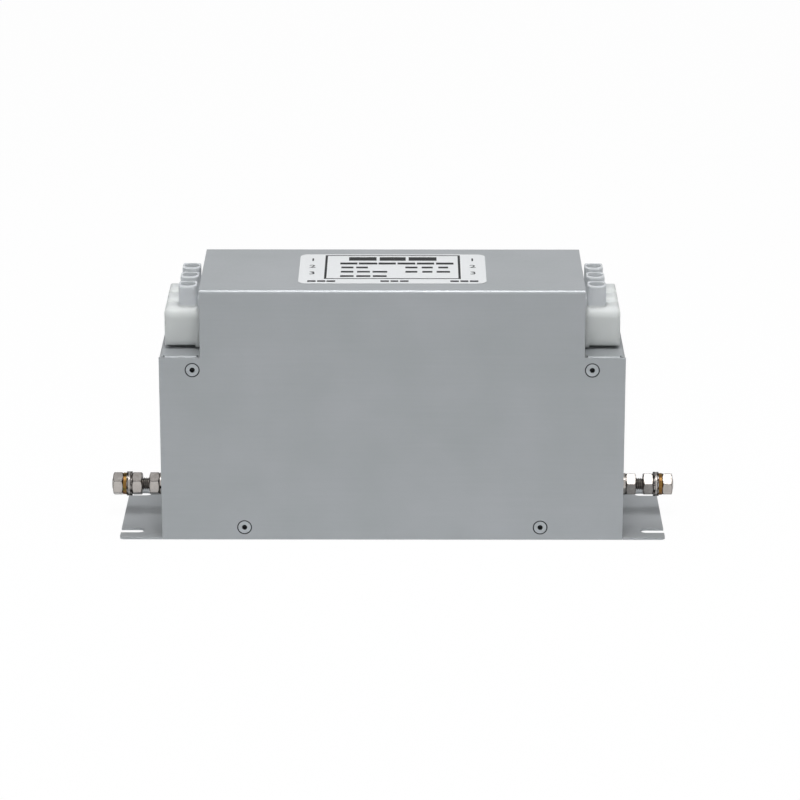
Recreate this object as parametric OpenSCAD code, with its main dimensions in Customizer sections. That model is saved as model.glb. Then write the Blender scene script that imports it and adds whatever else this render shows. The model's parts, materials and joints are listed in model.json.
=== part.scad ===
// Three-phase EMI line filter in a stepped sheet-steel housing with mounting feet.
// Origin: centre of the footprint on the mounting surface. X runs from the line
// end (-X) to the load end (+X), Y is the depth (front at -Y), Z is up.

/* [Housing] */
// Length over the two end walls
body_l = 220; // [216:1:280]
// Depth over the front and back walls
body_d = 70; // [70:1:100]
// Height of the two ledges that carry the terminals
ledge_z = 91.6; // [88:0.1:120]
// Width of each ledge, along X
ledge_w = 19.4; // [18:0.1:24]
// Height of the upper box above the ledges
dome_h = 33; // [30:0.5:50]
// Thickness of the zinc-coated sheet
sheet = 1; // [0.9:0.1:1.5]
// Inside radius of every bend
bend_r = 1; // [0.8:0.1:1.4]
// Gap between two sheets that nest in each other
nest_gap = 0.15; // [0.05:0.05:0.3]

/* [Feet] */
// Length of each foot beyond the end wall
foot_l = 20.4; // [16:0.1:30]
// Radius of the foot's outer corners
foot_corner_r = 2; // [0.5:0.1:4]
// Width of the open mounting slots
slot_w = 5.5; // [4.5:0.1:7]
// Depth of each slot from the foot's outer edge
slot_l = 11.2; // [8:0.1:14]
// Distance of each slot's centre line from the foot's side edge
slot_inset = 9.5; // [7:0.1:14]

/* [Rivets] */
// Diameter of the rivets' shank
rivet_d = 4; // [3:0.1:4.8]
// Diameter of the countersink in the cover
sink_d = 7.1; // [6:0.1:7.4]
// Diameter of the rivets' countersunk head
rivet_head_d = 6; // [5.4:0.1:6.4]
// Diameter of the bore left by the broken mandrel
mandrel_d = 2.5; // [1.6:0.1:2.6]
// Length of the upset end behind the sheets
upset_l = 3.2; // [2:0.1:4]
// Distance of the upper rivets from the end wall
ledge_rivet_in = 15.7; // [13:0.1:17]
// Drop of the upper rivets below the ledge
ledge_rivet_drop = 6.4; // [6:0.1:8]
// Distance of the lower rivets from the end wall
base_rivet_in = 39.4; // [30:0.1:60]
// Height of the lower rivets above the mounting surface
base_rivet_z = 6.2; // [5.8:0.1:8]
// Length of the ledge tabs that take the upper rivets
tab_l = 12.6; // [12:0.1:16]
// Height of the base plate's upturned flanges
flange_h = 12.4; // [11:0.1:16]

/* [Terminals] */
// Distance between neighbouring terminals
pole_pitch = 15.1; // [15.1:0.1:19]
// Width of each terminal's flange
pole_w = 14.8; // [14:0.1:15]
// Thickness of the flange that bears on the wall
pole_flange_t = 1.4; // [1:0.1:1.7]
// Height of the flange's top above the ledge
pole_flange_top = 25.3; // [22:0.1:28]
// Thickness of the flange's foot below the wire-entry body
pole_foot_t = 2.7; // [1.8:0.1:4]
// How far the wire-entry body stands out of the wall
pole_body_out = 17.2; // [16.5:0.1:19]
// Height of the wire-entry body
pole_body_h = 18.9; // [18:0.1:19.5]
// Radius of the body's upper outer edge
pole_body_r = 2.2; // [1:0.1:4]
// Length of the screw tower, along X
tower_l = 8.8; // [8.8:0.1:9.2]
// Width of the screw tower, along Y
tower_w = 9; // [8.8:0.1:12]
// Radius of the tower's upright edges
tower_r = 2.4; // [1:0.1:4.3]
// Height of the tower's top above the ledge
tower_top = 30.3; // [28:0.1:40]
// Diameter of the wire entry
wire_entry_d = 9.4; // [7:0.1:9.6]
// Diameter of the screwdriver access
access_d = 7.2; // [7:0.1:7.4]
// Width of the moulded neck that passes through the wall
neck_w = 12.4; // [12:0.1:12.6]
// Clearance round the neck in its cut-out
neck_gap = 0.15; // [0.1:0.05:0.3]

/* [Clamps] */
// Length, width and height of the clamping cage
cage = [9, 10, 12.6]; // [8:0.1:14]
// Wall of the cage
cage_wall = 1.2; // [0.8:0.1:1.5]
// Thickness of the contact bar
bar_t = 1.4; // [1:0.1:1.6]
// Width of the contact bar
bar_w = 7; // [5:0.1:7.4]
// Length of the contact bar inside the housing
bar_tail = 17; // [14:0.5:24]
// Diameter of the clamp screw's thread
clamp_d = 5; // [4:0.1:5.4]
// Diameter of the clamp screw's head
clamp_head_d = 6.8; // [6:0.1:6.9]

/* [Earth studs] */
// Height of the earth stud's axis
stud_z = 15.6; // [14:0.1:24]
// Thread diameter of the stud
stud_d = 5.9; // [4.8:0.1:7.2]
// Width across the flats of the nuts
nut_af = 10; // [9:0.1:13]
// Thickness of the nuts
nut_t = 5; // [3:0.1:6.5]
// Thickness of the stud's head
stud_head_t = 4; // [3:0.1:5.3]
// Bare thread between the lock nut and the clamp nut
stud_bare_l = 3.4; // [2:0.1:8]
// How far the stud's end stands out of the outer nut
stud_proud = 0.4; // [0.2:0.1:4]
// Turn of the nuts on the line end's stud, in degrees
nut_turn_line = 0; // [0:1:30]
// Turn of the nuts on the load end's stud, in degrees
nut_turn_load = 12; // [0:1:30]

/* [Choke] */
// Outer diameter of the ring core
core_od = 74; // [60:0.5:76]
// Inner diameter of the ring core
core_id = 42; // [38:0.5:50]
// Height of the ring core, along Y
core_h = 25; // [15:0.5:28]
// Wall of the core's insulating case
case_wall = 1.4; // [1:0.1:2]
// Diameter of the winding wire
wire_d = 4; // [2:0.1:4]
// Turns of each winding
turns = 6; // [3:1:6]
// Height of the choke's axis above the mounting surface
choke_z = 60; // [52:0.5:61]

/* [Capacitors] */
// Length, width and height of each line capacitor
x_cap = [32, 18, 33]; // [10:0.5:34]
// Length, width and height of the earth capacitor
y_cap = [10, 6, 12]; // [4:0.5:14]
// Length, width and thickness of each board
board = [52, 62, 1.6]; // [1:0.1:63]
// Height of each board's underside above the base plate
board_lift = 10; // [9.5:0.5:14]
// Gap between each board and its end wall
board_gap = 9; // [9:0.5:12]

/* [Label] */
// Length, width and thickness of the rating label
label = [89, 48.4, 0.15]; // [0.1:0.05:100]
// Radius of the label's corners
label_r = 4; // [1:0.1:8]

/* [Hidden] */
$fn = 64;
SIDES = ["line", "load"];
POLES = [1, 2, 3];
PER_POLE = ["terminal_housing", "terminal_cage", "contact_bar"];
PER_STUD = ["earth_bolt", "earth_wall_washers", "earth_wall_spring", "earth_lock_nut", "earth_clamp_nut",
            "earth_tooth_washers", "earth_contact_washer", "earth_lug_spring", "earth_outer_nut"];
PER_SIDE = ["end_bracket", "capacitor_board", "x_capacitors", "tap_wires"];
SINGLE = ["base_plate", "cover", "cover_rivets", "rivet_mandrels", "rating_label", "clamp_screws",
          "choke_core", "core_case", "core_lid", "winding_1", "winding_2", "winding_3", "choke_saddle",
          "y_capacitor", "discharge_resistors", "board_pillars"];

zinc = "#9aa0a5";
nylon = "#e2e5e3";
steel = "#b9b4b1";
yellow_zinc = "#b08a4a";
copper = "#b87348";

over = 1;                                  // how far a cutting shape runs past the face it cuts
half_l = body_l / 2;
half_d = body_d / 2;
body_h = ledge_z + dome_h;
dome_half = half_l - ledge_w;              // outer face of the upper end walls
foot_end = half_l + foot_l;
bend_out = bend_r + sheet;                 // outside radius of a bend
nest_half = half_d - sheet - nest_gap;     // outer face of what nests inside the cover
wall_foot_gap = 1.6;                       // between a flange's end and the end wall
flange_end = half_l - sheet - wall_foot_gap;
bracket_lip = 7;                           // flat of the brackets' bottom and top lips
relief = 0.6;                              // bend reliefs beside the ledge tabs
lip_in = bend_out + 0.3;                   // how much narrower the lips are on each side
cover_lip = 0.3;                           // step from the ledge down to the cover's edge

rivet_gap = 0.05;                          // between a rivet and its hole
rivet_sunk = 0.06;                         // the head's face below the cover's
rivet_cone = 60;                           // half the countersink's angle
rivet_hole_r = rivet_d / 2 + rivet_gap;
rivet_grip = 2 * sheet + nest_gap;
upset_d = 1.5 * rivet_d;
tab_side = 6.5;                            // from an upper rivet to the tab's inner edge

pole_z = [1, 1.2];                         // undersides of flange and body above the ledge
pole_skin = 1.1;                           // narrowest moulded wall of a pole
cage_z = 5.2;                              // underside of the cage above the ledge
cage_out = 1.7;                              // cage's inner face out of the wall
cage_play = 0.1;                           // between the cage and its pocket
clamp_x = cage_out + cage.x / 2;           // axis of the clamp screw
cage_top_t = 2.2;                          // threaded top of the cage
bar_z = cage_z + cage.z - cage_top_t - 0.1 - bar_t;
wire_z = cage_z + cage_wall + wire_entry_d / 2 - 0.5;
tower_rim_r = 0.8;                         // rounding of the tower's rim
neck_l = 5;
neck_z = [cage_z - pole_skin - cage_play, cage_z + cage.z + cage_play + pole_skin];
hook_h = 1.2;
clamp_gap = 0.1;                           // round the clamp screw's thread
clamp_head_z = cage_z + cage.z + 2.2;
clamp_head_h = 3;
bar_in = dome_half - bar_tail;             // inner end of the contact bars

washer_t = 1.6;
tooth_t = 0.7;
contact_washer_t = 1.2;
lug_spring_t = 1.65;
stud_gap = 0.1;                            // between the stud and what is threaded on it
washer_id = stud_d + 0.5;
lock_nut_x = 2 * washer_t;
clamp_nut_x = lock_nut_x + nut_t + stud_bare_l;
stack_x = clamp_nut_x + nut_t;             // where the lug's washers start
outer_nut_x = stack_x + 2 * tooth_t + contact_washer_t + lug_spring_t;
stud_end = outer_nut_x + nut_t + stud_proud;

core_play = 0.3;                           // between the core and its case
case_ro = core_od / 2 + core_play + case_wall;
case_ri = core_id / 2 - core_play - case_wall;
case_h = core_h + 2 * core_play + 2 * case_wall;
case_r = 1.5;
wire_r = wire_d / 2;
wind_gap = 0.6;                            // between the case and the winding's inside
loop_a = (case_ro - case_ri) / 2 + wind_gap + wire_r;
loop_b = case_h / 2 + wind_gap + wire_r;
loop_r = 4;
wind_span = 85;                            // angle taken by one winding
lead_y = loop_b + wire_d + 3.4;            // plane of the leads that cross the choke
lead_z = ledge_z + bar_z - wire_r - 0.05;  // axis of a lead under its contact bar
lead_end = bar_in + 8;
wire_sides = 8;

base_top = sheet;
board_z = base_top + board_lift;
board_top = board_z + board.z;
board_x = half_l - sheet - board_gap - board.x;  // inner edge of a board
x_cap_x = board_x + 6;
tap_d = 1.6;
tap_x = board_x + board.x - 8;             // row of the tap wires on the board
tap_bar_x = dome_half - neck_l - 1.6;      // where a tap wire meets its bar
pillar_in = 3.5;

// Plane helpers

module rounded(size, r) {
    square([size.x - 2 * r, size.y], center = true);
    square([size.x, size.y - 2 * r], center = true);
    for (x = [-1, 1], y = [-1, 1])
        translate([x * (size.x / 2 - r), y * (size.y / 2 - r)]) circle(r);
}

// What a rounded corner takes off; the corner is at the origin, its material in +x +y.
module corner_cut(r) {
    difference() {
        translate([-over, -over]) square(r + over);
        translate([r, r]) circle(r);
    }
}

module quarter_ring(r) {
    difference() {
        intersection() {
            circle(r + sheet);
            square(r + sheet);
        }
        circle(r);
    }
}

// A folded strip, seen along its bends: [length, turn] steps, turn 1 left, -1 right, 0 end.
module strip(steps, i = 0) {
    len = steps[i][0];
    turn = steps[i][1];
    square([len, sheet]);
    if (turn == 1) {
        translate([len, sheet + bend_r]) rotate(-90) quarter_ring(bend_r);
        translate([len + bend_out, bend_out]) rotate(90) strip(steps, i + 1);
    }
    if (turn == -1) {
        translate([len, -bend_r]) quarter_ring(bend_r);
        translate([len + bend_r, -bend_r]) rotate(-90) strip(steps, i + 1);
    }
}

// Stands a plane profile up: its x becomes X or Y, its y becomes Z.
module along_y(width) {
    rotate([90, 0, 0]) translate([0, 0, -width / 2]) linear_extrude(width) children();
}

module along_x(length) {
    rotate([90, 0, 90]) translate([0, 0, -length / 2]) linear_extrude(length) children();
}

module both_ways() {
    children();
    mirror([1, 0]) children();
}

module at_side(side) {
    rotate(side == "line" ? 180 : 0) children();
}

// Housing

module at_rivets(ledge = true, base = true) {
    spots = concat(ledge ? [[half_l - ledge_rivet_in, ledge_z - ledge_rivet_drop]] : [],
                   base ? [[half_l - base_rivet_in, base_rivet_z]] : []);
    for (p = spots, x = [-1, 1], y = [-1, 1])
        translate([x * p.x, y * half_d, p.y]) rotate([-90 * y, 0, 0]) children();
}

module rivet_hole() {
    translate([0, 0, -rivet_grip - over]) cylinder(r = rivet_hole_r, h = rivet_grip + 2 * over);
}

module foot_outline() {
    difference() {
        translate([flange_end, -half_d]) square([foot_end - flange_end, body_d]);
        for (y = [-1, 1]) scale([1, y]) {
            translate([flange_end - over, nest_half])
                square([half_l + nest_gap - flange_end + over, half_d]);
            translate([foot_end, half_d]) rotate(180) corner_cut(foot_corner_r);
            translate([foot_end - slot_l + slot_w / 2, half_d - slot_inset]) {
                circle(d = slot_w);
                translate([0, -slot_w / 2]) square([slot_l, slot_w]);
            }
        }
    }
}

module base_plate() {
    color(zinc) difference() {
        union() {
            along_x(2 * flange_end)
                both_ways() strip([[nest_half - bend_out, 1], [flange_h - bend_out, 0]]);
            for (turn = [0, 180]) rotate(turn) linear_extrude(sheet) foot_outline();
        }
        at_rivets(ledge = false) rivet_hole();
    }
}

module bracket_sheet() {
    lip = bracket_lip;
    difference() {
        translate([half_l - bend_out - lip, 0, 0])
            along_y(2 * nest_half) translate([0, sheet])
                strip([[lip, 1],
                       [ledge_z - sheet - 2 * bend_out, 1],
                       [ledge_w - bend_out - bend_r, -1],
                       [dome_h - sheet - bend_r - bend_out, 1],
                       [lip, 0]]);
        // the lips are narrower than the walls, to clear the neighbouring bends
        for (y = [0, 1]) mirror([0, y, 0]) {
            translate([half_l - 2 * bend_out - lip, nest_half - lip_in, 0])
                cube([bend_out + lip + over, lip_in + over, 2 * bend_out]);
            translate([dome_half - 2 * bend_out - lip, nest_half - lip_in, body_h - 2 * bend_out])
                cube([bend_out + lip + over, lip_in + over, 2 * bend_out]);
            translate([dome_half + bend_r, nest_half - bend_out, ledge_z - 2 * sheet])
                cube([ledge_w - bend_r - bend_out, bend_out + over, 3 * sheet]);
        }
    }
}

module ledge_tab() {
    x0 = dome_half + bend_r + relief;
    x1 = half_l - bend_out - relief;
    inner = half_l - ledge_rivet_in - tab_side;
    translate([(x0 + x1) / 2, nest_half - bend_out - over, 0])
        along_x(x1 - x0) translate([0, ledge_z - sheet]) strip([[over, -1], [tab_l - bend_out, 0]]);
    translate([inner, nest_half - sheet, ledge_z - tab_l])
        cube([x1 - inner, sheet, tab_l - bend_out - sheet]);
}

module end_bracket(side) {
    color(zinc) difference() {
        at_side(side) difference() {
            union() {
                bracket_sheet();
                for (y = [0, 1]) mirror([0, y, 0]) ledge_tab();
            }
            for (pole = POLES) translate([dome_half - sheet / 2, pole_y(pole), ledge_z])
                along_x(sheet + over) translate([0, (neck_z[0] + neck_z[1]) / 2])
                    rounded([neck_w + 2 * neck_gap, neck_z[1] - neck_z[0] + 2 * neck_gap], 1);
            translate([half_l, 0, stud_z]) rotate([0, -90, 0]) translate([0, 0, -over])
                cylinder(d = stud_d + 0.6, h = sheet + 2 * over);
        }
        at_rivets(base = false) rivet_hole();
    }
}

module cover() {
    color(zinc) difference() {
        along_x(body_l) translate([0, body_h - sheet])
            both_ways() strip([[half_d - bend_out, -1], [body_h - bend_out, 0]]);
        for (x = [-1, 1]) translate([x > 0 ? dome_half : -half_l - over, -half_d - over, ledge_z - cover_lip])
            cube([ledge_w + over, body_d + 2 * over, dome_h + over]);
        at_rivets() {
            rivet_hole();
            depth = (sink_d / 2 - rivet_hole_r) / tan(rivet_cone);
            translate([0, 0, -depth]) cylinder(r1 = rivet_hole_r, r2 = sink_d / 2, h = depth);
        }
    }
}

module cover_rivets() {
    sink = sink_d / 2 - rivet_gap;
    rim_z = -(sink - rivet_head_d / 2) / tan(rivet_cone);
    cone_z = -(sink - rivet_d / 2) / tan(rivet_cone);
    end_z = -rivet_grip - upset_l;
    color(steel) at_rivets() rotate_extrude()
        polygon([[mandrel_d / 2, -rivet_sunk], [rivet_head_d / 2, -rivet_sunk],
                 [rivet_head_d / 2, rim_z], [rivet_d / 2, cone_z],
                 [rivet_d / 2, -rivet_grip], [upset_d / 2, -rivet_grip], [upset_d / 2, end_z + 1],
                 [rivet_d / 2, end_z], [mandrel_d / 2, end_z]]);
}

module rivet_mandrels() {
    break_z = -1.4;
    end_z = -rivet_grip - upset_l;
    color(steel) at_rivets() {
        translate([0, 0, end_z - 0.1]) cylinder(d = mandrel_d - 0.04, h = break_z - end_z + 0.1);
        translate([0, 0, end_z - 1.1]) cylinder(d = rivet_d - 0.6, h = 1);
    }
}

module rating_label() {
    color("#f4f5f5") translate([0, 0, body_h])
        linear_extrude(label.z) rounded([label.x, label.y], label_r);
}

// Terminals

function pole_y(pole) = (pole - 2) * pole_pitch;

// Pole frame: x out of the wall, z up from the ledge. Poles count from the front on both ends.
module at_pole(side, pole) {
    at_side(side) translate([dome_half, (side == "line" ? -1 : 1) * pole_y(pole), ledge_z]) children();
}

module pole_side_profile() {
    bottom = pole_z[1];
    difference() {
        translate([0, bottom]) square([pole_body_out, pole_body_h]);
        translate([pole_body_out, bottom + pole_body_h]) rotate(180) corner_cut(pole_body_r);
        translate([pole_body_out, bottom]) rotate(90) corner_cut(1);
    }
}

module pole_end_profile() {
    w = pole_w - 0.3;
    bottom = pole_z[1];
    difference() {
        translate([-w / 2, bottom]) square([w, pole_body_h]);
        translate([w / 2, bottom + pole_body_h]) rotate(180) corner_cut(4.2);
        translate([-w / 2, bottom + pole_body_h]) rotate(270) corner_cut(4.2);
        translate([w / 2, bottom]) rotate(90) corner_cut(2.6);
        translate([-w / 2, bottom]) corner_cut(2.6);
    }
}

// Upright profile of the given width with both top corners rounded.
module topped(width) {
    difference() {
        translate([-width / 2, 0]) square([width, tower_top]);
        translate([width / 2, tower_top]) rotate(180) corner_cut(tower_rim_r);
        translate([-width / 2, tower_top]) rotate(270) corner_cut(tower_rim_r);
    }
}

module tower_shell() {
    foot = cage_z + cage.z + 0.5;
    translate([clamp_x, 0, 0]) intersection() {
        translate([0, 0, foot]) linear_extrude(tower_top - foot) rounded([tower_l, tower_w], tower_r);
        along_y(tower_w + over) topped(tower_l);
        along_x(tower_l + over) topped(tower_w);
    }
}

module pole_neck() {
    size = [neck_w, neck_z[1] - neck_z[0]];
    translate([-neck_l / 2, 0, 0]) along_x(neck_l)
        translate([0, (neck_z[0] + neck_z[1]) / 2]) rounded(size, 1);
    // snap hooks that grip the wall from inside
    along_y(neck_w / 2) for (top = [0, 1])
        translate([0, top ? neck_z[1] : neck_z[0]]) mirror([0, 1 - top])
            polygon([[-neck_l, -0.5], [-neck_l, 0.2], [-sheet - 0.1, hook_h], [-sheet - 0.1, -0.5]]);
}

module terminal_housing() {
    pocket = [cage.x + cage_out + neck_l + cage_play, cage.y + 2 * cage_play, cage.z + 2 * cage_play];
    pocket_x = -neck_l;
    color(nylon) difference() {
        union() {
            translate([0, -pole_w / 2, pole_z[0]]) {
                cube([pole_flange_t, pole_w, pole_flange_top - pole_z[0]]);
                cube([pole_foot_t, pole_w, cage_z - pole_z[0]]);
            }
            intersection() {
                along_y(pole_w) pole_side_profile();
                translate([pole_body_out / 2, 0, 0]) along_x(pole_body_out + over) pole_end_profile();
            }
            tower_shell();
            pole_neck();
        }
        translate([pocket_x - over, -pocket.y / 2, cage_z - cage_play])
            cube([pocket.x + over, pocket.y, pocket.z]);
        translate([cage_out, 0, wire_z]) rotate([0, 90, 0]) {
            cylinder(d = wire_entry_d, h = pole_body_out);
            translate([0, 0, pole_body_out - cage_out - 1.2])
                cylinder(d1 = wire_entry_d, d2 = wire_entry_d + 4, h = 2);
        }
        translate([clamp_x, 0, cage_z + cage.z]) cylinder(d = access_d, h = tower_top);
    }
}

module terminal_cage() {
    inner = [cage.y - 2 * cage_wall, cage.z - cage_wall - cage_top_t];
    color(steel) difference() {
        translate([clamp_x, 0, cage_z + cage.z / 2]) along_x(cage.x) difference() {
            rounded([cage.y, cage.z], 1.6);
            translate([0, (cage_wall - cage_top_t) / 2]) rounded(inner, 0.5);
        }
        translate([clamp_x, 0, cage_z + cage.z / 2])
            cylinder(d = clamp_d + 2 * clamp_gap, h = cage.z);
    }
}

module contact_bar() {
    reach = cage_out + cage.x - 0.8;
    color(copper) translate([-bar_tail, -bar_w / 2, bar_z]) cube([bar_tail + reach, bar_w, bar_t]);
}

module clamp_screw() {
    tip = bar_z + bar_t;
    color(steel) translate([clamp_x, 0, 0]) difference() {
        union() {
            translate([0, 0, tip]) cylinder(d = clamp_d, h = clamp_head_z - tip);
            translate([0, 0, clamp_head_z]) cylinder(d = clamp_head_d, h = clamp_head_h);
        }
        translate([-clamp_head_d, -0.6, clamp_head_z + clamp_head_h - 1.4])
            cube([2 * clamp_head_d, 1.2, 2]);
    }
}

// Earth studs

// Stud frame: z out of the end wall along the stud, turned so that a flat faces the front.
module at_stud(side, turn = 0) {
    at_side(side) translate([half_l, 0, stud_z]) rotate([0, 90, 0]) rotate(turn) children();
}

function nut_turn(side) = side == "line" ? -nut_turn_line : nut_turn_load;

// Hexagonal body from z = 0 to t; ends is 1 or 2 chamfered faces, the first one at z = t.
module hex_body(t, ends) {
    vertex_r = nut_af / 2 / cos(30);
    face_r = 0.47 * nut_af;
    out_r = vertex_r + 0.1;
    drop = (out_r - face_r) * tan(30);
    intersection() {
        cylinder(r = vertex_r, h = t, $fn = 6);
        rotate_extrude()
            polygon(concat([[0, 0], [ends > 1 ? face_r : out_r, 0]],
                           ends > 1 ? [[out_r, drop]] : [],
                           [[out_r, t - drop], [face_r, t], [0, t]]));
    }
}

module nut() {
    hole_d = stud_d + 2 * stud_gap;
    difference() {
        hex_body(nut_t, 2);
        translate([0, 0, -over]) cylinder(d = hole_d, h = nut_t + 2 * over);
        for (z = [0, nut_t]) translate([0, 0, z]) mirror([0, 0, z > 0 ? 0 : 1])
            translate([0, 0, -0.5]) cylinder(d1 = hole_d, d2 = hole_d + 1, h = 0.5 + 0.001);
    }
}

module ring(od, id, t) {
    linear_extrude(t) difference() {
        circle(d = od);
        circle(d = id);
    }
}

module spring_washer(od, t) {
    difference() {
        ring(od, washer_id, t);
        rotate([30, 0, 0]) translate([-0.5, 0, -od]) cube([1, od, 2 * od]);
    }
}

module tooth_washer() {
    teeth = 10;
    od = 2 * stud_d;
    linear_extrude(tooth_t) difference() {
        circle(d = od);
        circle(d = washer_id);
        for (i = [1 : teeth]) rotate(i * 360 / teeth)
            translate([0.37 * od, -0.055 * od]) square([od, 0.11 * od]);
    }
}

module earth_bolt(side) {
    under_head = -sheet - washer_t;
    color(steel) at_stud(side, 30) {
        translate([0, 0, under_head]) mirror([0, 0, 1]) hex_body(stud_head_t, 1);
        translate([0, 0, under_head - 0.5]) cylinder(d = stud_d, h = stud_end - 0.5 - under_head + 0.5);
        translate([0, 0, stud_end - 0.5]) cylinder(d1 = stud_d, d2 = stud_d - 1, h = 0.5);
    }
}

// Choke

module at_choke() {
    translate([0, 0, choke_z]) rotate([90, 0, 0]) children();
}

module ring_body(ro, ri, h, r) {
    rotate_extrude() translate([(ro + ri) / 2, 0]) rounded([ro - ri, h], r);
}

module choke_core() {
    color("#3a3c40") at_choke() ring_body(core_od / 2, core_id / 2, core_h, 1);
}

module core_case() {
    inner_ro = case_ro - case_wall;
    inner_ri = case_ri + case_wall;
    color("#2e6f4a") at_choke() difference() {
        ring_body(case_ro, case_ri, case_h, case_r);
        translate([0, 0, case_wall - case_h / 2]) ring(2 * inner_ro, 2 * inner_ri, case_h);
    }
}

module core_lid() {
    fit = 0.1;
    color("#2e6f4a") at_choke() translate([0, 0, case_h / 2 - case_wall])
        ring(2 * (case_ro - case_wall - fit), 2 * (case_ri + case_wall + fit), case_wall);
}

module choke_saddle() {
    post_half = 8.5;
    seat = case_ro + 0.3;
    color("#24262a") difference() {
        union() {
            translate([-26, -loop_b, base_top]) cube([52, 2 * loop_b, 4]);
            translate([-post_half, -case_h / 2, base_top])
                cube([2 * post_half, case_h, choke_z - base_top - seat * cos(asin(post_half / seat))]);
        }
        at_choke() cylinder(r = seat, h = 3 * case_h, center = true);
    }
}

// Wires

function unit(v) = v / norm(v);

function tangents(path) = let (n = len(path) - 1)
    [for (i = [0 : n]) unit(path[min(i + 1, n)] - path[max(i - 1, 0)])];

// Carries one normal along the path without twist.
function carried(dirs, normal, i = 0, done = []) = i == len(dirs) ? done
    : let (n = unit(normal - (normal * dirs[i]) * dirs[i]))
      carried(dirs, n, i + 1, concat(done, [n]));

// Smooth curve from p to q, leaving along u and arriving along v; both ends included.
function curve(p, u, q, v, steps) =
    [for (k = [0 : steps]) let (s = k / steps, a = s * s * (3 - 2 * s))
        (1 - a) * p + a * q + s * (1 - s) * (1 - s) * u - s * s * (1 - s) * v];

module tube(path, d, sides, normal) {
    dirs = tangents(path);
    normals = carried(dirs, normal);
    count = len(path);
    points = [for (i = [0 : count - 1], k = [0 : sides - 1])
        let (a = 360 * k / sides)
            path[i] + d / 2 * (cos(a) * normals[i] + sin(a) * cross(dirs[i], normals[i]))];
    skin = [for (i = [0 : count - 2], k = [0 : sides - 1])
        let (a = i * sides + k, b = i * sides + (k + 1) % sides)
            [a, a + sides, b + sides, b]];
    first = [for (k = [0 : sides - 1]) k];
    last = [for (k = [0 : sides - 1]) count * sides - 1 - k];
    polyhedron(points, concat(skin, [first, last]));
}

// One turn round the core's section, as [radial, axial] offsets, with rounded corners.
loop = [for (q = [0 : 3], k = [0 : 2])
    let (a = 90 * q + 45 * k,
         cx = (q == 0 || q == 3 ? 1 : -1) * (loop_a - loop_r),
         cy = (q < 2 ? 1 : -1) * (loop_b - loop_r))
        [cx + loop_r * cos(a), cy + loop_r * sin(a)]];

function on_choke(angle, radius, y) = [radius * cos(angle), y, choke_z + radius * sin(angle)];

// The turns from one angle to another, entered at the back and left at the front.
function coil(from, to) =
    let (mid_r = (case_ro + case_ri) / 2, steps = len(loop), advance = (to - from) / turns)
        [for (n = [0 : turns - 1], j = [0 : steps - 1])
            on_choke(from + advance * (n + j / steps), mid_r + loop[j][0], loop[j][1])];

// A lead from point p, leaving along u, to the pole at y on the end dir (-1 line, 1 load).
function lead(p, u, dir, y) =
    concat(curve(p, u, [dir * (bar_in - 4), y, lead_z], [dir * 40, 0, 0], 6),
           [[dir * lead_end, y, lead_z]]);

function reversed(path) = [for (i = [len(path) - 1 : -1 : 0]) path[i]];
function turned(path) = [for (p = path) [-p.x, -p.y, p.z]];

module winding_1() {
    turns_path = coil(90 + wind_span / 2, 90 - wind_span / 2);
    last = turns_path[len(turns_path) - 1];
    out = lead(last + [4, 1, 3], [24, 6, 12], 1, 0);
    in = reversed(turned(out));
    color(copper) tube(concat(in, turns_path, out), wire_d, wire_sides, [0, 1, 0]);
}

// The second winding; the third is the same one turned half round.
function winding_2_path() =
    let (turns_path = coil(210 - wind_span / 2, 210 + wind_span / 2),
         first = turns_path[0],
         in = reversed(lead(first + [-2, 0, 6], [-4, -10, 30], -1, -pole_pitch)),
         ring_r = case_ro + 2,
         start_a = 210 + wind_span / 2 + 8,
         across = [for (a = [start_a : 20 : start_a + 80]) on_choke(a, ring_r, -lead_y)],
         out = lead(on_choke(start_a + 100, ring_r + 4, -lead_y + 1), [8, 4, 40], 1, -pole_pitch))
    concat(in, turns_path, across, out);

module winding_2() {
    color(copper) tube(winding_2_path(), wire_d, wire_sides, [0, 1, 0]);
}

module winding_3() {
    color(copper) rotate(180) tube(winding_2_path(), wire_d, wire_sides, [0, 1, 0]);
}

module tap_wires(side) {
    bar_under = ledge_z + bar_z;
    rise = [0, 0, (bar_under - board_top) * 0.8];
    color(copper) at_side(side) for (pole = POLES) {
        y = pole_y(pole);
        tube(curve([tap_x, y, board_top], rise, [tap_bar_x, y, bar_under], rise, 8), tap_d, 6, [0, 1, 0]);
    }
}

// Capacitor boards

module at_pillars(side) {
    at_side(side) for (x = [pillar_in, board.x - pillar_in], y = [-1, 1])
        translate([board_x + x, y * (board.y / 2 - pillar_in), 0]) children();
}

module capacitor_board(side) {
    color("#3f6b4a") difference() {
        at_side(side) translate([board_x, -board.y / 2, board_z]) cube(board);
        at_pillars(side) translate([0, 0, board_z - over]) cylinder(d = 3.2, h = board.z + 2 * over);
    }
}

module board_pillars() {
    neck = board_z - base_top;
    color("#e8e8e0") for (side = SIDES) at_pillars(side) translate([0, 0, base_top]) rotate_extrude()
        polygon([[0, 0], [3.2, 0], [3.2, 2], [2.2, 3], [2.2, neck - 1], [3, neck], [1.5, neck],
                 [1.5, neck + board.z], [2, neck + board.z], [1, neck + board.z + 1.6],
                 [0, neck + board.z + 1.6]]);
}

module x_capacitors(side) {
    color("#c9a227") at_side(side) for (y = [-1, 0, 1])
        translate([x_cap_x + x_cap.x / 2, y * (x_cap.y + 1.2), board_top])
            linear_extrude(x_cap.z) rounded([x_cap.x, x_cap.y], 0.8);
}

module y_capacitor() {
    color("#2f5f9e") at_side("line") translate([tap_x + 1, pole_pitch / 2, board_top])
        linear_extrude(y_cap.z) rounded([y_cap.x, y_cap.y], 0.6);
}

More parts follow.
